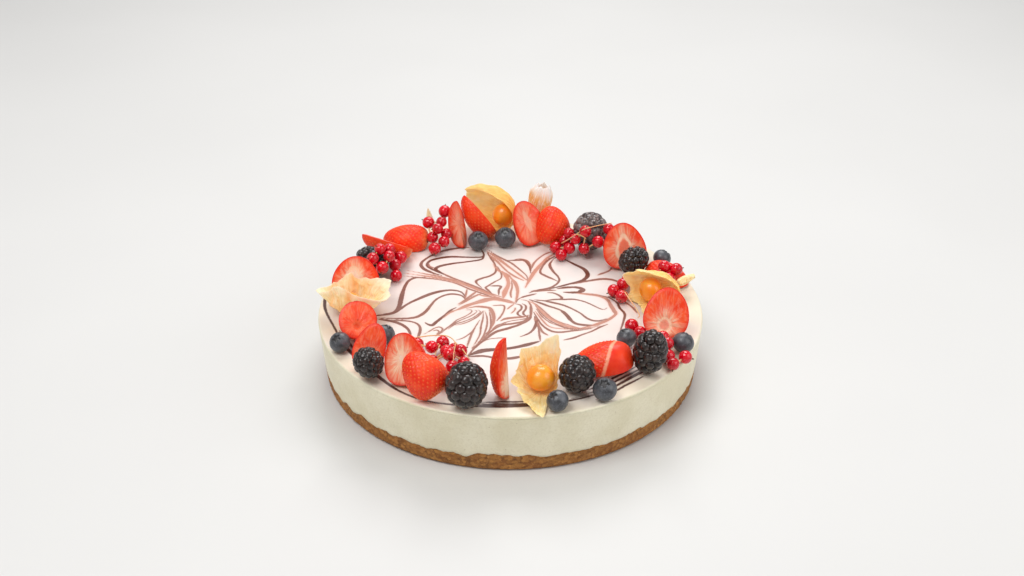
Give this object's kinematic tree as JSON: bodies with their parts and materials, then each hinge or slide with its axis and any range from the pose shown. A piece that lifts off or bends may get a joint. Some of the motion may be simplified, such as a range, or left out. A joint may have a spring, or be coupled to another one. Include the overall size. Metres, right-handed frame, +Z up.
{
  "type": "white chocolate cake",
  "caption": "Round layered white chocolate cake on a biscuit base, ringed with cut strawberries, bramble berries, blueberries, physalis and redcurrants.",
  "frame": {"origin": "centre of the cake's flat underside", "axes": "+Z up through the top of the cake, +X to the right and -Y towards the viewer with the front of the fruit ring facing the viewer"},
  "size_m": [0.24, 0.242, 0.074],
  "materials": {
    "biscuit": "matte, pressed crumb",
    "filling": "satin, finely pitted",
    "glaze": "smooth, marbled with brown",
    "strawberry": "moist",
    "bramble": "moist",
    "blueberry": "bloomed",
    "physalis": "glossy",
    "husk": "dry, veined",
    "redcurrant": "glossy, translucent"
  },
  "bodies": {
    "root": {"biscuit_base": "biscuit", "blueberry_back_left": "blueberry", "blueberry_back_right": "blueberry", "blueberry_front_inner": "blueberry", "blueberry_front_outer": "blueberry", "blueberry_left_inner": "blueberry", "blueberry_left_outer": "blueberry", "blueberry_right_back": "blueberry", "blueberry_right_inner": "blueberry", "blueberry_right_outer": "blueberry", "bramble_far": "bramble", "bramble_front": "bramble", "bramble_front_right": "bramble", "bramble_left": "bramble", "bramble_left_back": "bramble", "bramble_right": "bramble", "bramble_right_back": "bramble", "husk_leaf_tip": "husk", "physalis_back_berry": "physalis", "physalis_back_husk": "husk", "physalis_far_husk": "husk", "physalis_front_berry": "physalis", "physalis_front_husk": "husk", "physalis_left_berry": "physalis", "physalis_left_husk": "husk", "physalis_right_berry": "physalis", "physalis_right_husk": "husk", "physalis_right_stalk": "husk", "redcurrant_single": "redcurrant", "redcurrants_back": "redcurrant", "redcurrants_far": "redcurrant", "redcurrants_front": "redcurrant", "redcurrants_left_back": "redcurrant", "redcurrants_right": "redcurrant", "redcurrants_right_back": "redcurrant", "redcurrants_right_inner": "redcurrant", "redcurrants_right_outer": "redcurrant", "strawberry_back_leaning": "strawberry", "strawberry_back_left": "strawberry", "strawberry_back_quarter": "strawberry", "strawberry_back_wedge": "strawberry", "strawberry_far_cut": "strawberry", "strawberry_far_skin": "strawberry", "strawberry_front_cut": "strawberry", "strawberry_front_right": "strawberry", "strawberry_front_skin": "strawberry", "strawberry_front_wedge": "strawberry", "strawberry_left_high": "strawberry", "strawberry_left_low": "strawberry", "strawberry_left_mid": "strawberry", "strawberry_right_cut": "strawberry", "strawberry_right_flat": "strawberry", "strawberry_right_high": "strawberry", "white_filling": "filling", "white_glaze": "glaze"}
  },
  "joints": []
}
